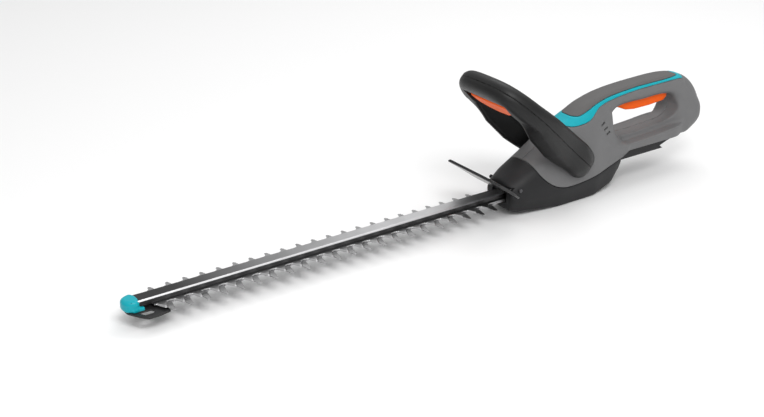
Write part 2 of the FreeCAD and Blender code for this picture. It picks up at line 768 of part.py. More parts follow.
def grip_layer(label, keep_above, cut_above, ends):
    """A slice of the grip's top between two side-view lines, cut square at its ends."""
    body = new_body(label)
    rear = sketch(body, "XZ_Plane")
    curve(rear, REAR_LOOP)
    pad(body, rear, "2 * Dims.grip_half", both=True)
    below = sketch(body, "XZ_Plane")
    first, last = keep_above[0][1], keep_above[-1][1]
    polygon(below, keep_above + [(300.0, last), (300.0, 0.0), (-60.0, 0.0), (-60.0, first)])
    pocket(body, below, 60, both=True)
    if cut_above:
        above = sketch(body, "XZ_Plane")
        polygon(above, cut_above + [(cut_above[-1][0], 170.0), (cut_above[0][0], 170.0)])
        pocket(body, above, 60, both=True)
    front, rear_end = ends
    for west, east in ((-60.0, front), (rear_end, 320.0)):
        trim = sketch(body, "XZ_Plane")
        rectangle(trim, (west, 60.0), (east, 180.0))
        pocket(body, trim, 60, both=True)
    return body


def height_at(line, x):
    """Height of a polyline at a place along X."""
    for (west, low), (east, high) in zip(line, line[1:]):
        if west <= x <= east:
            return low + (high - low) * (x - west) / (east - west)
    raise ValueError("outside the line")


def grip_covers():
    """Coloured trim on the grip and the soft pad that it frames."""
    line = list(TRIM_LINE)
    raised = [(x, z + DIMS["trim_thick"]) for x, z in TRIM_LINE]
    inside = [(x, z) for x, z in raised if GRIP_FRONT < x < GRIP_REAR]
    ends = [(x, height_at(raised, x)) for x in (GRIP_FRONT, GRIP_REAR)]
    framed = ends[:1] + inside + ends[1:]
    grip_layer("grip_trim", line, framed, (6.0, 236.0))
    grip_layer("grip_pad", raised, None, (GRIP_FRONT, GRIP_REAR))


# ---------------------------------------------------------------- front handle

# Outer and inner outline of the loop in its own plane: across the machine, along the lean.
LOOP_OUTER = (
    (-43.0, -25.0), (-54.0, -11.0), (-59.0, 28.0), (-65.0, 78.0), (-68.0, 114.0),
    (-63.0, 153.0), (-46.0, 179.0), (0.0, 189.0),
)
LOOP_INNER = (
    (-43.0, 8.0), (-43.0, 34.0), (-44.5, 76.0), (-45.5, 112.0), (-41.5, 138.0), (-27.0, 153.0),
    (0.0, 158.0),
)
# Hollow of each shell: its outer and inner outline.
HOLLOW_OUTER = (
    (-44.0, 20.0), (-55.0, 30.0), (-61.0, 78.0), (-64.0, 114.0), (-59.5, 150.0), (-44.0, 174.5),
    (0.0, 185.0),
)
HOLLOW_INNER = (
    (-44.0, 27.0), (-46.5, 38.0), (-48.5, 76.0), (-49.5, 112.0), (-45.5, 140.0), (-30.0, 157.0),
    (0.0, 162.0),
)
# Height where the deeper legs end, and the screws of the shells and of the roots.
LEG_TOP = 116.0
SHELL_SCREWS = ((-56.8, 108.0), (56.8, 108.0), (-52.7, 52.0), (52.7, 52.0))
ROOT_SCREW = -12.0
LEVER_TOP = 158.0
LEVER_FRONT = -13.5
SWITCH_GAP = 0.4


def mirrored(points):
    """A half outline completed by its mirror image; the last point lies on the axis."""
    return list(points) + [(-across, along) for across, along in reversed(points[:-1])]


def loop_frame():
    lean = math.radians(DIMS["lean"])
    along = V(-math.cos(lean), 0, math.sin(lean))
    normal = V(math.sin(lean), 0, math.cos(lean))
    turn = FreeCAD.Rotation(SIDEWAYS, along, normal, "XYZ")
    return FreeCAD.Placement(V(DIMS["loop_root_x"], 0, DIMS["loop_root_z"]), turn)


def loop_point(across, along, out):
    return loop_frame().multVec(V(across, along, out))


def handle_shell(label, back):
    """Front or rear shell of the loop handle, split along its middle plane."""
    body = new_body(label)
    outline = sketch(body, "XY_Plane")
    curve(outline, mirrored(LOOP_OUTER))
    pad(body, outline, rule("bar_half"), back=not back)
    legs = sketch(body, "XY_Plane")
    curve(legs, mirrored(LOOP_OUTER))
    pad(body, legs, rule("leg_half"), back=not back)
    upper = sketch(body, "XY_Plane", rule("bar_half") if back else "-Dims.bar_half")
    rectangle(upper, (-90, LEG_TOP), (90, 200))
    pocket(body, upper, 20, back=back)
    hole = sketch(body, "XY_Plane")
    curve(hole, mirrored(LOOP_INNER))
    pocket(body, hole, 60, both=True)
    base = sketch(body, "XY_Plane")
    rectangle(base, (-40, -40), (40, 45))
    pocket(body, base, 60, both=True)
    bar = sketch(body, "XY_Plane")
    rectangle(bar, (-40, 138), (40, 166))
    pocket(body, bar, 17, both=True)
    if not back:
        mouth = sketch(body, "XY_Plane")
        rectangle(mouth, (-40, 118), (40, 166))
        pocket(body, mouth, 30)
    nest = sketch(body, "XY_Plane")
    rectangle(nest, (-10, 160), (10, 176))
    pocket(body, nest, 10, both=True)
    hollow = sketch(body, "XY_Plane")
    curve(hollow, mirrored(HOLLOW_OUTER) + [(0.0, 20.0)])
    curve(hollow, mirrored(HOLLOW_INNER) + [(0.0, 27.0)])
    pocket(body, hollow, "Dims.bar_half - 3", back=back)
    bosses = sketch(body, "XY_Plane")
    for across, along in SHELL_SCREWS:
        circle(bosses, across, along, 5.0)
    pad(body, bosses, "Dims.bar_half - 2", back=not back)
    for across, along in SHELL_SCREWS:
        shank = sketch(body, "XY_Plane", -8.0)
        circle(shank, across, along, 1.6)
        pocket(body, shank, 20, back=True)
        head = sketch(body, "XY_Plane", -6.0)
        circle(head, across, along, 3.2)
        pocket(body, head, 30)
    for side in (-1, 1):
        root = sketch(body, "YZ_Plane", 30.0 * side)
        circle(root, ROOT_SCREW, 0.0, 2.5)
        pocket(body, root, 22, back=side > 0)
    body.Placement = loop_frame()
    return body


def front_handle():
    handle_shell("front_handle_rear", True)
    handle_shell("front_handle_front", False)
    along = loop_frame().Rotation.multVec(V(0, 0, 1))
    seat = [loop_point(across, up, -6.0) for across, up in SHELL_SCREWS]
    screws = [screw(spot, along * -1, 3.0, 2.2, 1.6, 17.5) for spot in seat]
    keep(group(screws), "handle_screws")
    roots = []
    for side in (-1, 1):
        spot = loop_point(side * 37.0, ROOT_SCREW, 0.0)
        roots.append(screw(spot, SIDEWAYS * -side, 3.4, 3.0, 2.5, 15.0))
    return roots


def front_lever():
    """Switch bar inside the loop, with its springs, its switch and the switch's button."""
    body = new_body("front_lever")
    outline = sketch(body, "XY_Plane", LEVER_FRONT)
    polygon(outline, [
        (-38.5, LEVER_TOP), (38.5, LEVER_TOP), (38.5, 143.0), (34.0, 136.0), (24.0, 130.0),
        (10.0, 127.0), (-10.0, 127.0), (-24.0, 130.0), (-34.0, 136.0), (-38.5, 143.0),
    ])
    pad(body, outline, 7 - LEVER_FRONT)
    body.Placement = loop_frame()

    turn = loop_frame().Rotation
    along = turn.multVec(SIDEWAYS)
    springs = [
        coil(3.0, 0.4, 166.0 - LEVER_TOP, 3.0, loop_point(across, LEVER_TOP, 0), along)
        for across in (-25.0, 25.0)
    ]
    keep(group(springs), "lever_springs")

    switch = new_body("front_switch")
    case = sketch(switch, "XY_Plane")
    rectangle(case, (-9, 164), (9, 175.5))
    pad(switch, case, 9, both=True)
    well = sketch(switch, "XZ_Plane", -164.0)
    circle(well, 0, 0, 1.54)
    pocket(switch, well, 8.5)
    switch.Placement = loop_frame()
    button = cylinder(1.5, 8.6, loop_point(0, LEVER_TOP + SWITCH_GAP, 0), along)
    keep(button, "front_switch_button")


def coil(radius, wire, length, turns, at, axis):
    """An open coil spring that starts at a point and runs along an axis."""
    spine = DOC.addObject("Part::Helix", "spine")
    spine.Pitch = (length - 2 * wire) / turns
    spine.Height = length - 2 * wire
    spine.Radius = radius
    place(spine, at + axis * wire, axis)
    rim = DOC.addObject("Part::Circle", "rim")
    rim.Radius = wire
    start = spine.Placement.multVec(V(radius, 0, 0))
    upright = spine.Placement.Rotation.multiply(FreeCAD.Rotation(V(1, 0, 0), 90))
    rim.Placement = FreeCAD.Placement(start, upright)
    strand = DOC.addObject("Part::Sweep", "strand")
    strand.Sections = [rim]
    DOC.recompute()
    strand.Spine = (spine, ["Edge1"])
    strand.Solid = True
    strand.Frenet = True
    return strand


# ---------------------------------------------------------------- hand guard


def hand_guard():
    """Wide plate that leans forward over the beam, held by two tongues in the nose."""
    body = new_body("hand_guard")
    side_view = sketch(body, "XZ_Plane")
    polygon(side_view, [
        (-86.6, 37.2), (-88.4, 34.8), (-112.0, 53.5), (-136.6, 70.6), (-135.0, 73.2),
        (-110.2, 55.9),
    ])
    pad(body, side_view, 100, both=True)
    for side in (-1, 1):
        corner = sketch(body, "YZ_Plane", -140.0)
        polygon(corner, [(51 * side, 58), (51 * side, 84), (30 * side, 84), (38 * side, 70)])
        polygon(corner, [(51 * side, 30), (51 * side, 47), (41 * side, 30)])
        pocket(body, corner, 70, back=True)
    tongues = sketch(body, "XY_Plane", TONGUE_LOW)
    for side in (-1, 1):
        rectangle(tongues, (-91.0, side * 17 - 5), (-66.0, side * 17 + 5))
    pad(body, tongues, 4)
    for side in (-1, 1):
        bore = sketch(body, "XZ_Plane", side * 13.0)
        circle(bore, GUARD_SCREW_X, TONGUE_LOW + 2, 1.5)
        pocket(body, bore, 14, back=side > 0)
    screws = []
    for side in (-1, 1):
        seat = V(GUARD_SCREW_X, -GUARD_SEAT * side, TONGUE_LOW + 2)
        screws.append(screw(seat, SIDEWAYS * -side, 2.6, 1.8, 1.5, GUARD_SEAT - 13))
    keep(group(screws), "guard_screws")


# ---------------------------------------------------------------- rear handle

# Switch button and return spring above the trigger.
BUTTON_X = 152.0
TRIGGER_TOP = 113.0
SPRING_X = 196.0
ROOM_TOP = 126.0


def rear_trigger():
    """Long trigger under the grip, hinged at its front end."""
    body = new_body("rear_trigger")
    side_view = sketch(body, "XZ_Plane")
    polygon(side_view, [
        (109.5, 120.5), (116.5, 120.5), (119.5, TRIGGER_TOP), (213.0, TRIGGER_TOP), (213.0, 105.0),
        (207.0, 100.0), (150.0, 98.5), (134.0, 100.5), (118.0, 107.5), (109.0, 112.0),
    ])
    pad(body, side_view, "2 * Dims.trigger_half", both=True)
    bore = sketch(body, "XZ_Plane")
    fit = "Dims.pin_radius + Dims.running_fit"
    circle(bore, DIMS["trigger_pivot_x"], DIMS["trigger_pivot_z"], fit)
    pocket(body, bore, 30, both=True)
    pivot = V(DIMS["trigger_pivot_x"], -14.5, DIMS["trigger_pivot_z"])
    keep(cylinder(rule("pin_radius"), 29, pivot, SIDEWAYS), "trigger_pin")
    spring = coil(3.2, 0.45, ROOM_TOP - TRIGGER_TOP, 5.0, V(SPRING_X, 0, TRIGGER_TOP), UP)
    keep(spring, "trigger_spring")


def rear_switch():
    case = box((24, 16, 6.5), V(BUTTON_X - 12, -8, 119.3))
    well = cylinder(2.04, 5.9, V(BUTTON_X, 0, 119.3))
    keep(cut(case, well), "rear_switch")
    keep(cylinder(2.0, 7.4, V(BUTTON_X, 0, TRIGGER_TOP + SWITCH_GAP)), "rear_switch_button")


def battery_side():
    """Control board, the rail that a battery slides onto, and its contact blades."""
    board = [box((1.6, 48, 42), V(62.0, -24, 42))]
    board.append(box((6, 20, 10), V(63.6, -20, 64)))
    board += [box((4, 9, 12), V(63.6, y, 47)) for y in (-20.0, -8.0, 4.0)]
    board.append(cylinder(5, 11, V(63.6, 14, 70), V(1, 0, 0)))
    keep(fuse(board), "control_board")

    rail = new_body("battery_rail")
    side_view = sketch(rail, "XZ_Plane")
    polygon(side_view, [
        (108.6, 39.0), (190.0, 39.0), (184.5, 43.5), (198.0, 48.0), (216.0, 52.0), (108.6, 52.0),
    ])
    pad(rail, side_view, 56, both=True)
    channel = sketch(rail, "YZ_Plane", 111.0)
    polygon(channel, [
        (-18, 38), (18, 38), (18, 42.5), (22, 42.5), (22, 48), (-22, 48), (-22, 42.5), (-18, 42.5),
    ])
    pocket(rail, channel, 120, back=True)
    contacts = [box((13, 1, 9), V(112, y - 0.5, 39)) for y in (-15.0, -5.0, 5.0, 15.0)]
    keep(group(contacts), "battery_contacts")


# ---------------------------------------------------------------- assembly


def check():
    """Stops the script if any object failed or any sub-part has a bad shape."""
    for obj in DOC.Objects:
        if any(word in obj.State for word in ("Invalid", "Error")):
            raise RuntimeError(f"{obj.Name} failed: {obj.State}")
    for node in NODES:
        shape = node.Shape
        if shape.isNull() or not shape.isValid() or not shape.Solids:
            raise RuntimeError(f"{node.Label} has a bad shape")


def export():
    os.makedirs("parts", exist_ok=True)
    for node in NODES:
        node.Shape.exportStep(f"parts/{node.Label}.step")


def main():
    blades()
    blade_beam()
    blade_guides()
    tip_guard()
    drive()
    gear_plate()
    gear_case()
    motor()
    lower_cover()
    housing_half("housing_left", 1)
    housing_half("housing_right", -1)
    clamp_screws()
    grip_covers()
    keep(group(front_handle()), "handle_root_screws")
    front_lever()
    hand_guard()
    rear_trigger()
    rear_switch()
    battery_side()
    DOC.recompute()
    check()
    export()


main()
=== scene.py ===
import json
import math

import bpy
import numpy as np
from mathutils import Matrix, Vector


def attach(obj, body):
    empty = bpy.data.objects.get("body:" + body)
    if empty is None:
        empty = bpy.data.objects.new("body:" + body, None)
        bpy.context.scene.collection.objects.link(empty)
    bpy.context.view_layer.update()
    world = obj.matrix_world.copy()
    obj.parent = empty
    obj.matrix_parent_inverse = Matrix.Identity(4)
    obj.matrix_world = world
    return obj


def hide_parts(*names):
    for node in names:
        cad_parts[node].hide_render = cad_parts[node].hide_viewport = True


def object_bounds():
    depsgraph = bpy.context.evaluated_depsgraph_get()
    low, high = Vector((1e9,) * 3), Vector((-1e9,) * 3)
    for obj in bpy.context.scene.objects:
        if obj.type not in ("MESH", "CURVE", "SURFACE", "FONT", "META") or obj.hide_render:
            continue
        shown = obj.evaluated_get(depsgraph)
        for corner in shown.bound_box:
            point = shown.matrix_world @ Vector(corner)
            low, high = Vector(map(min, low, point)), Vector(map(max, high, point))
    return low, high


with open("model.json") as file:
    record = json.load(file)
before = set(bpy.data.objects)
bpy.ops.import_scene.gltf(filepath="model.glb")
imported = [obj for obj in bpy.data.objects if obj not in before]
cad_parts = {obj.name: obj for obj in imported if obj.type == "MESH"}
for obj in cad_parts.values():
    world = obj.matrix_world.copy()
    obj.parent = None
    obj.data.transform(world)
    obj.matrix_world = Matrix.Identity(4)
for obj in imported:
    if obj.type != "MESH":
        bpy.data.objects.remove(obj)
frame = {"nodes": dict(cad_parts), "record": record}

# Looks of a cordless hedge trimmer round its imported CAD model. Metres; shapes are worked
# out in millimetres and scaled on the way into a mesh.

CAD_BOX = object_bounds()
MM = 0.001


# ---------------------------------------------------------------- camera, light, floor

CAMERA_PLACE = (-1.1163, -1.20059, 0.7132)
CAMERA_AZIMUTH, CAMERA_ELEVATION = -35.059, 24.202
CAMERA_LENS = 61.26
AIM = Vector((-0.16, 0.0, 0.05))
# Height of a direction and the room's brightness there: low, high, dim, bright.
SKY = (0.0, 0.8, 0.36, 0.8)
# Soft boxes: name, azimuth, elevation, distance, size, power.
LAMPS = (
    ("key", -25, 50, 1.9, (0.9, 0.7), 17),
    ("rim", 120, 55, 2.0, (1.6, 0.9), 10),
    ("fill", 10, 25, 2.2, (1.6, 1.2), 3),
)
FLOOR_HALF, FLOOR_GAP, FLOOR_COLOR = 30.0, 0.0002, (0.9, 0.9, 0.9, 1)


def back_vector(azimuth, elevation):
    a, e = math.radians(azimuth), math.radians(elevation)
    return Vector((math.sin(a) * math.cos(e), -math.cos(a) * math.cos(e), math.sin(e)))


def make_camera():
    data = bpy.data.cameras.new("camera")
    data.lens = CAMERA_LENS
    data.clip_start, data.clip_end = 0.05, 50
    camera = bpy.data.objects.new("camera", data)
    bpy.context.scene.collection.objects.link(camera)
    camera.location = CAMERA_PLACE
    look = -back_vector(CAMERA_AZIMUTH, CAMERA_ELEVATION)
    camera.rotation_mode = "QUATERNION"
    camera.rotation_quaternion = look.to_track_quat("-Z", "Y")
    bpy.context.scene.camera = camera


def area_light(name, azimuth, elevation, distance, size, power):
    data = bpy.data.lights.new(name, "AREA")
    data.shape = "RECTANGLE"
    data.size, data.size_y = size
    data.energy = power
    lamp = bpy.data.objects.new(name, data)
    bpy.context.scene.collection.objects.link(lamp)
    away = back_vector(azimuth, elevation)
    lamp.location = AIM + away * distance
    lamp.rotation_mode = "QUATERNION"
    lamp.rotation_quaternion = (-away).to_track_quat("-Z", "Y")


def make_light():
    """A white room, dimmer towards the horizon, with three soft boxes."""
    world = bpy.data.worlds.new("studio")
    bpy.context.scene.world = world
    world.use_nodes = True
    tree = world.node_tree
    background = tree.nodes["Background"]
    background.inputs["Color"].default_value = (1, 1, 1, 1)
    place = tree.nodes.new("ShaderNodeTexCoord")
    split = tree.nodes.new("ShaderNodeSeparateXYZ")
    level = tree.nodes.new("ShaderNodeMapRange")
    level.interpolation_type = "SMOOTHSTEP"
    for socket, value in zip(("From Min", "From Max", "To Min", "To Max"), SKY):
        level.inputs[socket].default_value = value
    tree.links.new(place.outputs["Generated"], split.inputs["Vector"])
    tree.links.new(split.outputs["Z"], level.inputs["Value"])
    tree.links.new(level.outputs["Result"], background.inputs["Strength"])
    for lamp in LAMPS:
        area_light(*lamp)


def make_floor():
    mesh = bpy.data.meshes.new("floor")
    half = FLOOR_HALF
    level = min(CAD_BOX[0].z, 0.0) - FLOOR_GAP
    corners = [(x * half, y * half, level) for x, y in ((-1, -1), (1, -1), (1, 1), (-1, 1))]
    mesh.from_pydata(corners, [], [(0, 1, 2, 3)])
    floor = bpy.data.objects.new("floor", mesh)
    bpy.context.scene.collection.objects.link(floor)
    material = bpy.data.materials.new("floor")
    material.use_nodes = True
    shader = material.node_tree.nodes["Principled BSDF"]
    shader.inputs["Base Color"].default_value = FLOOR_COLOR
    shader.inputs["Roughness"].default_value = 0.9
    shader.inputs["Specular IOR Level"].default_value = 0.1
    mesh.materials.append(material)


bpy.context.scene.view_settings.view_transform = "Standard"
make_camera()
make_light()
make_floor()


# ---------------------------------------------------------------- materials

# Per record slot: colour, roughness, metal, grain size in mm, its relief, cloudy tint,
# spread of the gloss, and how far the finish is brushed along X.
LOOKS = {
    "blade_steel": ((0.44, 0.44, 0.445), 0.32, 1, 0.5, 0.05, 0.10, 0.10, 0.8),
    "beam_metal": ((0.72, 0.72, 0.73), 0.36, 1, 0.4, 0.05, 0.08, 0.08, 1.0),
    "plain_steel": ((0.40, 0.40, 0.41), 0.34, 1, 0.5, 0.06, 0.10, 0.10, 0.3),
    "bearing_steel": ((0.62, 0.62, 0.64), 0.14, 1, 0.4, 0.02, 0.03, 0.04, 0.2),
    "screw_steel": ((0.09, 0.09, 0.095), 0.38, 1, 0.5, 0.08, 0.12, 0.10, 0.0),
    "spring_steel": ((0.5, 0.5, 0.52), 0.28, 1, 0.3, 0.04, 0.06, 0.08, 0.0),
    "motor_steel": ((0.42, 0.42, 0.44), 0.3, 1, 0.5, 0.05, 0.06, 0.08, 0.4),
    "cast_alloy": ((0.42, 0.42, 0.42), 0.5, 1, 1.1, 0.35, 0.10, 0.12, 0.0),
    "brass": ((0.62, 0.42, 0.16), 0.3, 1, 0.4, 0.05, 0.10, 0.10, 0.2),
    "copper_core": ((0.32, 0.16, 0.09), 0.45, 1, 0.6, 0.4, 0.15, 0.1, 0.6),
    "magnet": ((0.10, 0.10, 0.105), 0.6, 0, 0.5, 0.2, 0.1, 0.1, 0.0),
    "board": ((0.03, 0.18, 0.08), 0.3, 0, 0.9, 0.1, 0.15, 0.1, 0.0),
    "black_plastic": ((0.022, 0.022, 0.023), 0.42, 0, 0.5, 0.14, 0.10, 0.08, 0.0),
    "dark_plastic": ((0.021, 0.021, 0.022), 0.46, 0, 0.5, 0.16, 0.08, 0.07, 0.0),
    "grey_plastic": ((0.150, 0.150, 0.152), 0.46, 0, 0.5, 0.14, 0.05, 0.06, 0.0),
    "soft_grip": ((0.108, 0.105, 0.104), 0.62, 0, 0.9, 0.3, 0.07, 0.07, 0.0),
    "soft_black": ((0.0050, 0.0050, 0.0052), 0.46, 0, 1.2, 0.34, 0.15, 0.10, 0.0),
    "gloss_black": ((0.012, 0.012, 0.013), 0.20, 0, 0.6, 0.04, 0.1, 0.12, 0.7),
    "turquoise_plastic": ((0.001, 0.36, 0.43), 0.36, 0, 0.5, 0.08, 0.06, 0.06, 0.0),
    "orange_plastic": ((0.90, 0.115, 0.004), 0.40, 0, 0.5, 0.08, 0.05, 0.06, 0.0),
}
# How much lighter a rubbed edge is, and the size of the cloudy tint's noise.
WORN, CLOUD = 1.35, 26.0
# How strongly a surface mirrors the room: metal, most plastics, and the plastics that differ.
METAL_SHEEN, PLASTIC_SHEEN = 0.5, 0.3
SHEEN = {"soft_black": 0.38, "gloss_black": 0.5, "orange_plastic": 0.12, "dark_plastic": 0.2}
# Painted reflection in the beam's colour: flanks painted dark, bevels painted bright as a
# highlight, and the top painted from dark at the tip to bright at the rear.
FLANK_PAINTED_SHADE = (0.2, (0.10, 0.10, 0.10))
BEVEL_PAINTED_HIGHLIGHT = (0.6, (1.0, 1.0, 1.0))
TOP_TIP_PAINTED_SHADE, TOP_REAR_PAINTED_LIGHT, TOP_PAINTED_SPAN = (0.09, 0.09, 0.09), (0.95, 0.95, 0.95), (-0.56, -0.26)


class Graph:
    """Short forms for a material's nodes and links."""

    def __init__(self, material):
        self.tree = material.node_tree
        self.shader = self.tree.nodes["Principled BSDF"]

    def node(self, kind, **values):
        made = self.tree.nodes.new("ShaderNode" + kind)
        for socket, value in values.items():
            made.inputs[socket.replace("_", " ")].default_value = value
        return made

    def link(self, source, node, socket):
        self.tree.links.new(source, node.inputs[socket])

    def spread(self, source, low, high, start=0.3, end=0.7):
        """A texture's value turned into a range."""
        made = self.node("MapRange", From_Min=start, From_Max=end, To_Min=low, To_Max=high)
        self.link(source, made, "Value")
        return made.outputs["Result"]

    def blend(self, factor, first, second):
        """Two colours mixed by an output; each is a colour or another output."""
        made = self.tree.nodes.new("ShaderNodeMix")
        made.data_type = "RGBA"
        self.link(factor, made, 0)
        for socket, shade in ((6, first), (7, second)):
            if isinstance(shade, tuple):
                made.inputs[socket].default_value = (*shade, 1)
            else:
                self.link(shade, made, socket)
        return made.outputs[2]

    def sum_or_product(self, operation, first, second):
        made = self.node("Math")
        made.operation = operation
        self.link(first, made, 0)
        self.link(second, made, 1)
        return made.outputs["Value"]


def scaled(color, amount):
    return tuple(min(c * amount, 1.0) for c in color)


def build_look(name, color, roughness, metal, grain, relief, tint, polish, brushed):
    """A procedural finish: grain in relief, cloudy tint and gloss, rubbed edges."""
    material = bpy.data.materials.new(name)
    material.use_nodes = True
    graph = Graph(material)
    graph.shader.inputs["Metallic"].default_value = metal
    sheen = METAL_SHEEN if metal else SHEEN.get(name, PLASTIC_SHEEN)
    graph.shader.inputs["Specular IOR Level"].default_value = sheen
    place = graph.node("TexCoord").outputs["Object"]
    stretch = graph.node("Mapping", Scale=(1 - 0.985 * brushed, 1.0, 1.0))
    graph.link(place, stretch, "Vector")
    fine = graph.node("TexNoise", Scale=1000.0 / grain, Detail=2.0, Roughness=0.6)
    graph.link(stretch.outputs["Vector"], fine, "Vector")
    cloud = graph.node("TexNoise", Scale=CLOUD, Detail=5.0, Roughness=0.6)
    graph.link(place, cloud, "Vector")
    clouded = graph.spread(cloud.outputs["Fac"], 0.0, 1.0)
    shade = graph.blend(clouded, scaled(color, 1 - tint), scaled(color, 1 + tint))
    if brushed:
        streaks = graph.spread(fine.outputs["Fac"], 0.0, 0.5 * brushed)
        shade = graph.blend(streaks, shade, scaled(color, 1 - 2 * tint))
    edges = graph.node("NewGeometry").outputs["Pointiness"]
    rubbed = graph.sum_or_product(
        "MULTIPLY",
        graph.spread(edges, 0.0, 0.55, 0.53, 0.62),
        graph.spread(cloud.outputs["Fac"], 0.2, 1.0, 0.42, 0.6),
    )
    shade = graph.blend(rubbed, shade, scaled(color, WORN))
    graph.link(shade, graph.shader, "Base Color")
    gloss = graph.sum_or_product(
        "ADD",
        graph.spread(cloud.outputs["Fac"], roughness - polish, roughness),
        graph.spread(fine.outputs["Fac"], 0.0, polish),
    )
    graph.link(gloss, graph.shader, "Roughness")
    bump = graph.node("Bump", Strength=relief, Distance=0.0004)
    graph.link(fine.outputs["Fac"], bump, "Height")
    graph.link(bump.outputs["Normal"], graph.shader, "Normal")
    return material


def paint_beam_reflection(material):
    """Painted reflection: flanks painted dark, bevels painted bright as a highlight, and a top
    painted darker towards the tip.
    """
    graph = Graph(material)
    facing = graph.node("SeparateXYZ")
    graph.link(graph.node("NewGeometry").outputs["True Normal"], facing, "Vector")
    place = graph.node("SeparateXYZ")
    graph.link(graph.node("TexCoord").outputs["Object"], place, "Vector")
    # Painted reflection by facing: flanks painted dark, bevels painted bright as a highlight.
    facing_reflection = graph.node("ValToRGB")
    steps = facing_reflection.color_ramp.elements
    steps[0].position, steps[0].color = FLANK_PAINTED_SHADE[0], (*FLANK_PAINTED_SHADE[1], 1)
    steps[1].position, steps[1].color = BEVEL_PAINTED_HIGHLIGHT[0], (*BEVEL_PAINTED_HIGHLIGHT[1], 1)
    graph.link(facing.outputs["Z"], facing_reflection, "Fac")
    # Painted reflection along the top: dark at the tip, bright towards the rear.
    along = graph.spread(place.outputs["X"], 0.0, 1.0, *TOP_PAINTED_SPAN)
    top = graph.blend(along, TOP_TIP_PAINTED_SHADE, TOP_REAR_PAINTED_LIGHT)
    level = graph.spread(facing.outputs["Z"], 0.0, 1.0, 0.93, 0.97)
    shade = graph.blend(level, facing_reflection.outputs["Color"], top)
    tone = graph.shader.inputs["Base Color"].links[0].from_socket
    mixed = graph.tree.nodes.new("ShaderNodeMix")
    mixed.data_type = "RGBA"
    mixed.blend_type = "MULTIPLY"
    mixed.inputs[0].default_value = 1.0
    graph.link(tone, mixed, 6)
    graph.link(shade, mixed, 7)
    graph.link(mixed.outputs[2], graph.shader, "Base Color")


LOOK = {name: build_look(name, *numbers) for name, numbers in LOOKS.items()}
# The beam's painted reflections and highlight go into its base colour.
paint_beam_reflection(LOOK["beam_metal"])
SLOT_OF = {part["node"]: part["material_slot"] for part in frame["record"]["subparts"]}
for label, node in frame["nodes"].items():
    node.data.materials.clear()
    node.data.materials.append(LOOK[SLOT_OF[label]])


# ---------------------------------------------------------------- distance fields
#
# A shape is a function of x, y, z in millimetres that is negative inside it. Outlines
# are closed curves in a plane, looked up in a table of distances.

CELL = 1.2
TABLE_STEP = 1.0


def smooth_step(value):
    t = np.clip(value, 0.0, 1.0)
    return t * t * (3 - 2 * t)


def joined(a, b, k):
    """The union of two fields with a fillet about k wide."""
    h = np.maximum(k - np.abs(a - b), 0) / k
    return np.minimum(a, b) - h * h * k / 4


def common(a, b, k):
    """What two fields share, with a rounded edge about k wide."""
    h = np.maximum(k - np.abs(a - b), 0) / k
    return np.maximum(a, b) + h * h * k / 4


def smooth_curve(points, count=16):
    """Points along a smooth closed curve through the given ones."""
    points = np.array(points, float)
    number = len(points)
    chord = np.linalg.norm(np.roll(points, -1, 0) - points, axis=1)
    system, right = np.zeros((number, number)), np.zeros((number, 2))
    for i in range(number):
        before, after = (i - 1) % number, (i + 1) % number
        a, b = chord[before], chord[i]
        system[i, before] += b
        system[i, i] += 2 * (a + b)
        system[i, after] += a
        slope_in = (points[i] - points[before]) / a
        slope_out = (points[after] - points[i]) / b
        right[i] = 3 * (b * slope_in + a * slope_out)
    slopes = np.linalg.solve(system, right)
    t = np.linspace(0, 1, count, endpoint=False)[:, None]
    spans = []
    for i in range(number):
        after, length = (i + 1) % number, chord[i]
        spans.append(
            (1 + 2 * t) * (1 - t) ** 2 * points[i]
            + t * (1 - t) ** 2 * length * slopes[i]
            + t * t * (3 - 2 * t) * points[after]
            + t * t * (t - 1) * length * slopes[after]
        )
    return np.concatenate(spans)


def outline(points, margin=45.0):
    """Distance to a closed outline as a function of its two coordinates."""
    points = np.array(points, float)
    low, high = points.min(0) - margin, points.max(0) + margin
    size = np.ceil((high - low) / TABLE_STEP).astype(int) + 2
    u = (low[0] + TABLE_STEP * np.arange(size[0]))[:, None]
    v = (low[1] + TABLE_STEP * np.arange(size[1]))[None, :]
    nearest = np.full((size[0], size[1]), 1e12)
    inside = np.zeros((size[0], size[1]), bool)
    for (u0, v0), (u1, v1) in zip(points, np.roll(points, -1, 0)):
        du, dv = u1 - u0, v1 - v0
        length = du * du + dv * dv
        if length < 1e-12:
            continue
        t = np.clip(((u - u0) * du + (v - v0) * dv) / length, 0, 1)
        gap_u, gap_v = u - u0 - t * du, v - v0 - t * dv
        nearest = np.minimum(nearest, gap_u * gap_u + gap_v * gap_v)
        if abs(dv) > 1e-12:
            crosses = ((v0 > v) != (v1 > v)) & (u < u0 + (v - v0) * du / dv)
            inside ^= crosses
    table = np.sqrt(nearest) * np.where(inside, -1, 1)

    def distance(a, b):
        p = np.clip((a - low[0]) / TABLE_STEP, 0, size[0] - 1.001)
        q = np.clip((b - low[1]) / TABLE_STEP, 0, size[1] - 1.001)
        i, j = p.astype(int), q.astype(int)
        p, q = p - i, q - j
        return (
            table[i, j] * (1 - p) * (1 - q)
            + table[i + 1, j] * p * (1 - q)
            + table[i, j + 1] * (1 - p) * q
            + table[i + 1, j + 1] * p * q
        )

    return distance


def slab(flat, across, half, edge):
    """An outline's distance made solid, half thick to each side, with rounded edges."""
    a, b = flat + edge, np.abs(across) - half + edge
    return np.minimum(np.maximum(a, b), 0) + np.hypot(np.maximum(a, 0), np.maximum(b, 0)) - edge


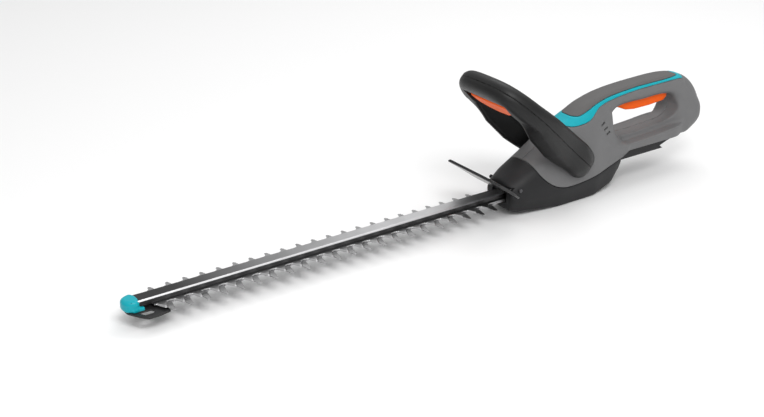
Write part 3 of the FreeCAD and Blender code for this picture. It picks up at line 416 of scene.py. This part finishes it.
def block(x, y, z, low, high, edge=0.5):
    """A box between two corners with rounded edges."""
    gaps = []
    for value, west, east in zip((x, y, z), low, high):
        gaps.append(np.abs(value - (west + east) / 2) - (east - west) / 2 + edge)
    outside = np.sqrt(sum(np.maximum(g, 0) ** 2 for g in gaps))
    return outside + np.minimum(np.maximum(np.maximum(gaps[0], gaps[1]), gaps[2]), 0) - edge


def gradient(field, points, step=0.25):
    """Direction in which a field grows at each point."""
    parts = []
    for axis in range(3):
        ahead, behind = points.copy(), points.copy()
        ahead[:, axis] += step
        behind[:, axis] -= step
        parts.append((field(*ahead.T) - field(*behind.T)) / (2 * step))
    return np.stack(parts, 1)


def settled(field, points, reach):
    """Points moved onto the surface where a field is zero, by up to reach at a time."""
    for _ in range(3):
        slope = gradient(field, points)
        steep = np.maximum((slope * slope).sum(1), 0.2)
        move = slope * (field(*points.T) / steep)[:, None]
        length = np.linalg.norm(move, axis=1)[:, None]
        points = points - move * np.minimum(1, reach / np.maximum(length, 1e-9))
    return points


def surface(field, low, high, cell):
    """Points and quads of the surface where a field is zero, and the normals there."""
    low, high = np.array(low, float) - 1.5 * cell, np.array(high, float) + 1.5 * cell
    size = np.ceil((high - low) / cell).astype(int) + 1
    axes = [low[i] + cell * np.arange(size[i]) for i in range(3)]
    values = field(axes[0][:, None, None], axes[1][None, :, None], axes[2][None, None, :])
    values = np.broadcast_to(values, tuple(size)).astype(np.float32)
    solid = values < 0
    total = np.zeros((*(size - 1), 3), np.float32)
    hits = np.zeros(tuple(size - 1), np.int32)
    quads = []
    edges = []
    for axis in range(3):
        first = [slice(None)] * 3
        second = [slice(None)] * 3
        first[axis], second[axis] = slice(0, -1), slice(1, None)
        a, b = values[tuple(first)], values[tuple(second)]
        at = np.argwhere(solid[tuple(first)] != solid[tuple(second)])
        va, vb = a[tuple(at.T)], b[tuple(at.T)]
        spot = at.astype(np.float32)
        spot[:, axis] += va / (va - vb)
        edges.append((axis, at, va < 0))
        others = [i for i in range(3) if i != axis]
        for du in (0, 1):
            for dv in (0, 1):
                cellwise = at.copy()
                cellwise[:, others[0]] -= du
                cellwise[:, others[1]] -= dv
                fits = np.all((cellwise >= 0) & (cellwise < size - 1), axis=1)
                where = tuple(cellwise[fits].T)
                for i in range(3):
                    np.add.at(total[..., i], where, spot[fits, i])
                np.add.at(hits, where, 1)
    used = hits > 0
    index = np.full(hits.shape, -1, np.int64)
    index[used] = np.arange(int(used.sum()))
    points = low + cell * (total[used] / hits[used][:, None]).astype(float)
    for axis, at, starts_inside in edges:
        u, v = [(1, 2), (2, 0), (0, 1)][axis]
        corners = []
        for du, dv in ((1, 1), (0, 1), (0, 0), (1, 0)):
            cellwise = at.copy()
            cellwise[:, u] -= du
            cellwise[:, v] -= dv
            corners.append(index[tuple(np.clip(cellwise, 0, size - 2).T)])
        ring = np.stack(corners, 1)
        ring[~starts_inside] = ring[~starts_inside][:, ::-1]
        quads.append(ring)
    quads = np.concatenate(quads)
    points = settled(field, points, 0.5 * cell)
    slope = gradient(field, points)
    normals = slope / np.maximum(np.linalg.norm(slope, axis=1)[:, None], 1e-9)
    return points, quads, normals


def new_piece(name, points, faces, body, normals=None, smooth=True):
    """A mesh from points in millimetres, riding on a body."""
    mesh = bpy.data.meshes.new(name)
    points = np.asarray(points, float) * MM
    if isinstance(faces, np.ndarray):
        number, corners = faces.shape
        mesh.vertices.add(len(points))
        mesh.vertices.foreach_set("co", points.astype(np.float32).ravel())
        mesh.loops.add(number * corners)
        mesh.loops.foreach_set("vertex_index", faces.astype(np.int32).ravel())
        mesh.polygons.add(number)
        starts = np.arange(0, number * corners, corners, dtype=np.int32)
        mesh.polygons.foreach_set("loop_start", starts)
        mesh.update(calc_edges=True)
        mesh.validate()
    else:
        mesh.from_pydata([tuple(p) for p in points], [], faces)
    mesh.polygons.foreach_set("use_smooth", [smooth] * len(mesh.polygons))
    if normals is not None and len(mesh.vertices) == len(points):
        mesh.normals_split_custom_set_from_vertices([tuple(n) for n in normals])
    piece = bpy.data.objects.new(name, mesh)
    bpy.context.scene.collection.objects.link(piece)
    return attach(piece, body)


def shaped(name, field, low, high, body, cell):
    points, quads, normals = surface(field, low, high, cell)
    return new_piece(name, points, quads, body, normals)


# ---------------------------------------------------------------- housing

# Sections of the body along X: place, half-width, underside, chine, shoulder height,
# half-width at the top, top height.
SECTIONS = np.array((
    (-85.0, 28.0, 8.5, 27.0, 34.0, 17.0, 47.0),
    (-67.0, 34.5, 5.5, 26.5, 40.0, 22.0, 57.0),
    (-32.0, 38.5, 2.5, 25.0, 52.0, 22.0, 76.0),
    (-8.0, 40.0, 0.0, 25.0, 56.0, 21.0, 93.0),
    (13.0, 40.0, 0.0, 26.5, 60.0, 20.0, 108.0),
    (55.0, 40.0, 0.0, 31.5, 60.0, 18.0, 126.0),
    (92.0, 36.0, 9.0, 42.0, 54.0, 16.0, 126.0),
    (108.0, 33.0, 28.0, 46.0, 52.0, 16.0, 72.0),
))
TUCK, NOSE, TAIL = 7.0, -85.0, 108.0
REAR_LOOP = (
    (14.0, 98.0), (38.0, 121.0), (72.0, 133.0), (110.0, 138.0), (165.0, 140.0), (217.0, 138.0),
    (246.0, 129.0), (267.0, 109.0), (275.0, 86.0), (268.0, 64.0), (248.0, 52.0), (215.0, 52.0),
    (160.0, 52.0), (100.0, 52.0), (50.0, 52.0), (20.0, 70.0),
)
HAND_HOLE = (
    (94.0, 90.0), (99.0, 104.0), (114.0, 110.5), (160.0, 111.5), (204.0, 111.0), (220.0, 104.0),
    (224.0, 91.0), (215.0, 78.0), (188.0, 72.0), (145.0, 70.0), (112.0, 72.0), (98.0, 79.0),
)
# Line between the lower cover and the grey halves, seen from the side.
PARTING = (
    (-50.0, 90.0), (-48.0, 66.0), (-40.0, 50.0), (-24.0, 36.5), (-7.0, 30.0), (14.0, 28.5),
    (46.0, 31.5), (79.0, 38.0), (125.0, 48.0),
)
TRIM_LINE = (
    (-12.0, 112.0), (10.0, 106.0), (26.0, 104.0), (48.0, 107.0), (62.0, 115.0), (74.0, 121.5),
    (99.0, 127.0), (146.0, 131.0), (217.0, 131.5), (236.0, 129.0),
)
PAD_LINE = (
    (14.0, 150.0), (17.0, 121.0), (24.0, 115.5), (36.0, 114.5), (50.0, 119.0), (72.0, 126.5),
    (99.0, 131.5), (146.0, 134.6), (217.0, 135.0), (226.0, 136.0), (229.0, 150.0),
)


def column(index):
    """A section size as a smooth function of the place along X."""
    places, sizes = SECTIONS[:, 0], SECTIONS[:, index]
    dense = np.arange(-110.0, 130.0, 1.0)
    level = np.interp(dense, places, sizes)
    weights = np.hanning(19)[1:-1]
    padded = np.pad(level, 8, mode="edge")
    level = np.convolve(padded, weights / weights.sum(), mode="valid")
    return lambda x: np.interp(x, dense, level)


SECTION = [column(i) for i in range(1, 7)]


def body_field(x, y, z):
    """The motor body: flat underside, tucked skirt, upright sides, sloping shoulders."""
    half, low, chine, shoulder, half_top, high = (size(x) for size in SECTION)
    side = np.abs(y)
    length = np.hypot(chine - low, TUCK)
    skirt = ((side - half) * (chine - low) - (z - chine) * TUCK) / length
    rise, run = high - shoulder, half - half_top
    slope = ((side - half) * rise + (z - shoulder) * run) / np.hypot(rise, run)
    shell = common(side - half, skirt, 1.2)
    shell = common(shell, slope, 13.0)
    shell = common(shell, z - high, 15.0)
    shell = common(shell, low - z, 3.5)
    shell = common(shell, NOSE - x, 5.0)
    return common(shell, x - TAIL, 3.0)


LOOP = outline(smooth_curve(REAR_LOOP))
HOLE = outline(smooth_curve(HAND_HOLE))
STRUT = outline((
    (80.0, 52.0), (215.0, 52.0), (236.0, 58.0), (240.0, 65.0), (230.0, 70.0), (208.0, 67.0),
    (176.0, 64.5), (137.0, 62.5), (104.0, 61.0), (80.0, 64.0),
))
GRIP_HALF, STRUT_HALF = 17.0, 34.0
# Half-width of the handle's back at some heights.
BACK_HEIGHTS, BACK_HALVES = (60.0, 70.0, 86.0, 100.0, 122.0), (30.0, 29.0, 25.0, 20.5, 17.0)


def handle_field(x, y, z):
    """The closed rear handle: oval grip, domed back and a wide crowned strut below."""
    back = smooth_step((x - 205.0) / 34.0)
    half = GRIP_HALF + (np.interp(z, BACK_HEIGHTS, BACK_HALVES) - GRIP_HALF) * back
    edge = 6.0 + 5.5 * smooth_step((z - 80.0) / 30.0) + 12.0 * smooth_step((x - 226.0) / 30.0)
    loop = slab(LOOP(x, z), y, half, np.minimum(edge, half - 1.0))
    return joined(loop, slab(STRUT(x, z), y, STRUT_HALF - 6.0 * back, 2.0), 6.0)


def grip_field(x, y, z):
    """Body and rear handle as one form, before it is split into its mouldings."""
    blend = 15.0 - 11.0 * smooth_step((z - 92.0) / 20.0)
    form = joined(body_field(x, y, z), handle_field(x, y, z), blend)
    edge = 3.5 + 9.0 * smooth_step((z - 90.0) / 18.0) * smooth_step((x - 85.0) / 25.0)
    return common(form, -HOLE(x, z), edge)


def spline_line(line, step=4):
    """A smooth open line through side-view points."""
    points = np.array(line, float)
    slopes = np.gradient(points, axis=0)
    t = np.linspace(0, 1, step, endpoint=False)[:, None]
    spans = []
    for i in range(len(points) - 1):
        spans.append(
            (1 + 2 * t) * (1 - t) ** 2 * points[i] + t * (1 - t) ** 2 * slopes[i]
            + t * t * (3 - 2 * t) * points[i + 1] + t * t * (t - 1) * slopes[i + 1]
        )
    return [tuple(p) for p in np.concatenate(spans)] + [tuple(points[-1])]


GREY_REGION = outline(
    spline_line(PARTING) + [(320.0, 48.0), (320.0, 230.0), (-50.0, 230.0)], margin=120.0
)
TRIM_REGION = outline(spline_line(TRIM_LINE) + [(236.0, 230.0), (-12.0, 230.0)], margin=120.0)
PAD_REGION = outline(spline_line(PAD_LINE) + [(229.0, 230.0), (14.0, 230.0)], margin=120.0)
SEAM = 0.25


def carve(form, tool, gap=SEAM, edge=0.8):
    return common(form, gap - tool, edge)


def keep_in(form, tool, gap=SEAM, edge=0.8):
    return common(form, tool + gap, edge)


# Side-view places of the vent slots and of the clamp screws, and the screws' recess radius.
VENTS = ((69.0, 97.0), (73.0, 90.0), (77.0, 83.0))
CLAMPS = ((-2.0, 84.0), (252.0, 108.0), (252.0, 66.0), (122.0, 61.0), (-30.0, 62.0), (81.0, 64.0))
CLAMP_RECESS = 3.7


def vent_field(x, y, z):
    """Three slanted slots in the near side, in front of the hand hole."""
    slots = 1e3
    for west, low in VENTS:
        along, across = (x - west) * 0.94 + (z - low) * 0.34, (z - low) * 0.94 - (x - west) * 0.34
        slot = np.hypot(np.maximum(np.abs(along - 4.0) - 2.8, 0), across) - 1.25
        slots = np.minimum(slots, slot)
    return np.maximum(slots, y + 20.0)


def housing_field(side):
    def field(x, y, z):
        form = grip_field(x, y, z)
        form = keep_in(form, GREY_REGION(x, z))
        form = carve(form, TRIM_REGION(x, z))
        trigger_slot = block(x, y, z, (104.0, -8.0, 100.0), (218.0, 8.0, 126.0))
        form = np.maximum(form, -trigger_slot)
        if side < 0:
            form = np.maximum(form, -vent_field(x, y, z))
        else:
            for cx, cz in CLAMPS:
                bore = np.maximum(np.hypot(x - cx, z - cz) - CLAMP_RECESS, 10.0 - y)
                form = common(form, -bore, 0.8)
        return common(form, 0.06 - side * y, 0.5)
    return field


def lower_cover_field(x, y, z):
    """The lower cover, with its blade mouth, the guard's sockets and its screws' pits."""
    form = carve(body_field(x, y, z), GREY_REGION(x, z))
    mouth = np.maximum(np.maximum(np.abs(y) - 13.6, np.abs(z - 25.4) - 7.0), x + 60.0)
    form = common(form, -mouth, 0.8)
    tongues = np.maximum(np.abs(np.abs(y) - 17.0) - 5.4, np.abs(z - 38.5) - 2.2)
    tongues = np.maximum(tongues, x + 64.0)
    form = common(form, -tongues, 0.6)
    pits = np.maximum(np.hypot(x + 74.0, z - 38.5) - 2.8, 29.5 - np.abs(y))
    return common(form, -pits, 0.6)


def trim_field(x, y, z):
    form = keep_in(grip_field(x, y, z) - 0.25, TRIM_REGION(x, z))
    return carve(form, PAD_REGION(x, z))


def pad_field(x, y, z):
    return keep_in(grip_field(x, y, z), PAD_REGION(x, z))


# ---------------------------------------------------------------- front handle

LEAN = math.radians(41.8)
ROOT = np.array((17.0, 0.0, 64.0))
LOOP_OUTER = (
    (-40.0, -26.0), (-53.0, -14.0), (-59.0, 28.0), (-65.0, 78.0), (-68.0, 114.0), (-63.0, 153.0),
    (-46.0, 179.0), (0.0, 189.0),
)
LOOP_INNER = (
    (-36.0, 0.0), (-36.0, 35.0), (-39.0, 79.0), (-41.0, 112.0), (-39.5, 138.0), (-27.0, 152.0),
    (0.0, 157.0),
)
# Thickness of the loop to its front and to its rear, at some heights along its lean.
BAR_HEIGHTS = (-20.0, 20.0, 60.0, 100.0, 135.0, 170.0)
FRONT_HALVES = (22.0, 25.5, 29.0, 27.0, 17.5, 14.4)
REAR_HALVES = (22.0, 21.0, 19.5, 17.5, 15.3, 14.4)


def mirrored(points):
    return list(points) + [(-u, v) for u, v in reversed(points[:-1])]


FRONT_OUTER = outline(smooth_curve(mirrored(LOOP_OUTER)))
FRONT_INNER = outline(smooth_curve(mirrored(LOOP_INNER)))
LEVER_EDGE = ((-38.0, 158.0), (-38.0, 147.0), (-33.0, 138.5), (-20.0, 131.0), (0.0, 128.0))
LEVER = outline(mirrored(LEVER_EDGE))
ROOM_EDGE = ((-39.5, 167.0), (-39.5, 118.0), (0.0, 118.0))
LEVER_ROOM = outline(mirrored(ROOM_EDGE))


def to_loop(x, y, z):
    """Across the machine, along the lean and out of the loop's plane."""
    dx, dz = x - ROOT[0], z - ROOT[2]
    along = -math.cos(LEAN) * dx + math.sin(LEAN) * dz
    out = math.sin(LEAN) * dx + math.cos(LEAN) * dz
    return y, along, out


def loop_box(low, high):
    """Box in the row frame round a box in the loop's own frame."""
    corners = []
    for u in (low[0], high[0]):
        for v in (low[1], high[1]):
            for w in (low[2], high[2]):
                corners.append((
                    ROOT[0] - math.cos(LEAN) * v + math.sin(LEAN) * w,
                    u,
                    ROOT[2] + math.sin(LEAN) * v + math.cos(LEAN) * w,
                ))
    corners = np.array(corners)
    return corners.min(0), corners.max(0)


def front_form(u, v, w):
    """The whole loop: a round bar above, legs with a flat outer face below."""
    front, rear = np.interp(v, BAR_HEIGHTS, FRONT_HALVES), np.interp(v, BAR_HEIGHTS, REAR_HALVES)
    half, middle = (front + rear) / 2, (rear - front) / 2
    edge = 9.0 + 4.0 * smooth_step((v - 85.0) / 45.0) + 8.0 * smooth_step((22.0 - v) / 30.0)
    form = slab(FRONT_OUTER(u, v), w - middle, half, np.minimum(edge, half - 1.0))
    lean = 0.5 * smooth_step((150.0 - v) / 45.0) * smooth_step((v + 12.0) / 40.0)
    facet = (lean * (np.abs(u) - 40.0) - w - front) / np.hypot(1.0, lean)
    form = common(form, facet, 5.0)
    return common(form, -FRONT_INNER(u, v), 7.0)


def lever_form(u, v, w):
    """The switch bar between the legs, with a bowed lower edge."""
    return slab(LEVER(u, v), w + 3.0, 9.5, 3.5)


def front_shell_field(side):
    """One shell of the loop, to the front (-1) or the rear (1) of its middle plane."""
    def field(x, y, z):
        u, v, w = to_loop(x, y, z)
        form = front_form(u, v, w)
        form = common(form, 0.9 - slab(LEVER_ROOM(u, v), w + 4.5, 11.5, 3.5), 0.8)
        form = common(form, 0.3 - grip_field(x, y, z), 0.8)
        return common(form, 0.02 - side * w, 0.15)
    return field


def lever_field(x, y, z):
    return lever_form(*to_loop(x, y, z))


# ---------------------------------------------------------------- guard, trigger, blades

GUARD = outline((
    (-86.4, 37.6), (-88.5, 34.6), (-112.0, 52.6), (-136.8, 70.2), (-135.0, 73.6), (-110.2, 56.4),
))
TRIGGER = outline((
    (109.5, 120.5), (116.5, 120.5), (119.5, 113.0), (213.0, 113.0), (213.0, 105.0),
    (207.0, 100.0), (180.0, 98.0), (150.0, 98.2), (134.0, 100.5), (118.0, 107.5), (109.0, 112.0),
))


def guard_field(x, y, z):
    """A bowed plate with clipped corners, on two tongues that go into the nose."""
    plate = slab(GUARD(x, z), y, 50.0, 1.1)
    plate = common(plate, (np.abs(y) - 46.0) * 0.73 + (z - 71.5) * 0.68, 3.0)
    plate = common(plate, (np.abs(y) - 51.0) * 0.86 + (47.0 - z) * 0.51, 3.0)
    tongue = block(x, np.abs(y), z, (-89.5, 12.0, 36.6), (-66.0, 22.0, 40.4))
    return joined(plate, tongue, 2.0)


def trigger_field(x, y, z):
    return slab(TRIGGER(x, z), y, 7.0, 2.6)


# Blades: place of the first tooth, pitch and number; strip and tooth reach.
FIRST_TOOTH, PITCH, TOOTH_COUNT = -579.75, 22.0, 22
STRIP_HALF, ROOT_WIDTH, TIP_WIDTH = 12.4, 14.5, 5.0
# Half sizes of the blade's thickness, its yoke, the yoke's window and the guide slots.
THICK_HALF, YOKE, WINDOW, SLOT = 1.0, (28.0, 22.0), (21.6, 16.1), (9.9, 4.05)
STATIONS = [-562.0 + 86.0 * i for i in range(6)]


def tooth_outline(reach):
    """One tooth in its own frame: across its middle line and out from the blade's axis."""
    right = [
        (ROOT_WIDTH / 2, STRIP_HALF - 3), (ROOT_WIDTH / 2, STRIP_HALF - 0.5),
        (ROOT_WIDTH * 0.37, STRIP_HALF + 3.5), (TIP_WIDTH / 2 - 0.3, reach - 2.4),
        (TIP_WIDTH * 0.22, reach - 0.6),
    ]
    return outline(right + [(-a, b) for a, b in reversed(right)], 12.0)


def blade_field(reach, shift, low, ground_up):
    """A slotted strip with rounded, ground teeth; the grinding faces up or down."""
    tooth = tooth_outline(reach)
    rail_west = FIRST_TOOTH + shift - ROOT_WIDTH / 2 - 2

    def field(x, y, z):
        side = np.abs(y)
        index = np.clip(np.round((x - FIRST_TOOTH - shift) / PITCH), 0, TOOTH_COUNT - 1)
        across = x - FIRST_TOOTH - shift - PITCH * index
        cutter = tooth(np.clip(across, -11.5, 11.5), side) - 0.6
        strip = np.maximum(side - STRIP_HALF, np.maximum(rail_west - x, x + 21.0))
        flat = joined(strip, cutter, 2.5)
        off = np.abs(x - shift)
        yoke = slab(np.maximum(off - YOKE[0], side - YOKE[1]), 0.0, THICK_HALF, 0.0)
        yoke = np.maximum(yoke, (off - YOKE[0]) * 0.7 + (side - 15.0) * 0.7)
        window = np.maximum(off - WINDOW[0], side - WINDOW[1])
        flat = np.maximum(np.minimum(flat, yoke), -window)
        for station in STATIONS:
            slot = np.maximum(np.abs(x - station - shift) - SLOT[0], side - SLOT[1])
            flat = np.maximum(flat, -slot)
        level = z - low - THICK_HALF
        body = np.maximum(flat, np.abs(level) - THICK_HALF)
        facing = level if ground_up else -level
        ground = (facing - THICK_HALF) * 0.75 + (cutter + 2.0) * 0.66
        ground = np.where(side > STRIP_HALF + 1.0, ground, -1.0)
        return np.maximum(body, ground)
    return field


def beam_piece():
    """The rail over the blades: a bar with two bevels along its top edges, which its material
    paints bright as a highlight.
    """
    half, low, high, bevel = 9.3, 24.2, 31.5, 1.5
    profile = [
        (half - 0.3, low), (half, low + 0.3), (half, high - bevel - 0.2),
        (half - 0.15, high - bevel + 0.1), (half - bevel + 0.1, high - 0.15),
        (half - bevel - 0.2, high),
    ]
    profile += [(-y, z) for y, z in reversed(profile)]
    places = np.linspace(-617.5, -36.0, 60)
    points = [(x, y, z) for x in places for y, z in profile]
    count = len(profile)
    faces = []
    for ring in range(len(places) - 1):
        for k in range(count):
            a, b = ring * count + k, ring * count + (k + 1) % count
            faces.append((a, a + count, b + count, b))
    faces += [tuple(range(count)), tuple(reversed(range(len(points) - count, len(points))))]
    return new_piece("beam_rail", points, faces, "trimmer", smooth=False)


CAP = outline(smooth_curve((
    (-611.0, -12.4), (-611.0, 12.4), (-618.0, 11.2), (-623.4, 7.4), (-625.5, 0.0), (-623.4, -7.4),
    (-618.0, -11.2),
)))
PLATE = outline((
    (-622.0, 6.0), (-613.5, 22.0), (-606.5, 30.0), (-592.0, 29.8), (-579.0, 27.0), (-576.0, 19.0),
    (-577.5, 12.0), (-584.0, 8.0), (-584.0, -8.0), (-577.5, -12.0), (-576.0, -19.0),
    (-579.0, -27.0), (-592.0, -29.8), (-606.5, -30.0), (-613.5, -22.0), (-622.0, -6.0),
))
HANG = outline((
    (-611.0, 15.0), (-607.0, 12.4), (-596.5, 12.8), (-593.5, 17.0), (-597.0, 21.4), (-607.0, 21.6),
))


def cap_field(x, y, z):
    """Domed cap over the beam's end, with a low arm along each side of the beam."""
    dome = slab(CAP(x, y), z - 26.0, 7.2, 5.0)
    arm = block(x, np.abs(y), z, (-616.0, 7.0, 19.4), (-597.0, 12.2, 23.6), 1.2)
    dome = joined(dome, arm, 3.0)
    seat = np.maximum(np.maximum(np.abs(y) - 9.35, np.abs(z - 27.85) - 3.7), -617.55 - x)
    return np.maximum(common(dome, 19.45 - z, 0.5), -seat)


def plate_field(x, y, z):
    return common(slab(PLATE(x, y), z - 18.2, 1.2, 0.6), -HANG(x, np.abs(y)), 0.6)


MOVING = ("upper_blade", "lower_blade", "rear_trigger", "front_lever")


def build_pieces():
    """Make each refined piece in place of its CAD node: field, box and cell size."""
    top, wide, fine = 142.0, 42.0, CELL * 0.6
    loop = loop_box((-74.0, -23.0, -25.0), (74.0, 192.0, 25.0))
    shapes = {
        "housing_left": (housing_field(1), (-70.0, -1.0, 24.0), (278.0, wide, top), CELL),
        "housing_right": (housing_field(-1), (-70.0, -wide, 24.0), (278.0, 1.0, top), CELL),
        "lower_cover": (lower_cover_field, (-88.0, -wide, -1.0), (112.0, wide, 95.0), CELL),
        "grip_trim": (trim_field, (-12.0, -wide, 100.0), (240.0, wide, top), CELL * 0.75),
        "grip_pad": (pad_field, (10.0, -wide, 110.0), (232.0, wide, top), CELL),
        "front_handle_rear": (front_shell_field(1), *loop, CELL),
        "front_handle_front": (front_shell_field(-1), *loop, CELL),
        "front_lever": (
            lever_field, *loop_box((-40.0, 124.0, -17.0), (40.0, 160.0, 8.0)), fine,
        ),
        "hand_guard": (guard_field, (-138.0, -51.0, 33.0), (-64.0, 51.0, 75.0), fine),
        "rear_trigger": (trigger_field, (108.0, -8.0, 96.0), (214.0, 8.0, 121.5), fine),
        "tip_cap": (cap_field, (-627.0, -14.0, 18.5), (-604.0, 14.0, 34.5), fine),
        "tip_plate": (plate_field, (-623.0, -31.0, 16.5), (-575.0, 31.0, 20.0), fine),
        "upper_blade": (
            blade_field(24.5, -2.75, 22.05, True), (-593.0, -25.5, 21.5), (28.0, 25.5, 24.6), fine,
        ),
        "lower_blade": (
            blade_field(33.0, 2.75, 19.95, False), (-588.0, -34.0, 19.5), (32.0, 34.0, 22.4), fine,
        ),
    }
    for label, (field, low, high, cell) in shapes.items():
        body = label if label in MOVING else "trimmer"
        dress(shaped(label + "_form", field, low, high, body, cell), label)
    dress(beam_piece(), "blade_beam")


def dress(piece, label):
    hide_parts(label)
    piece.data.materials.append(LOOK[SLOT_OF[label]])


build_pieces()
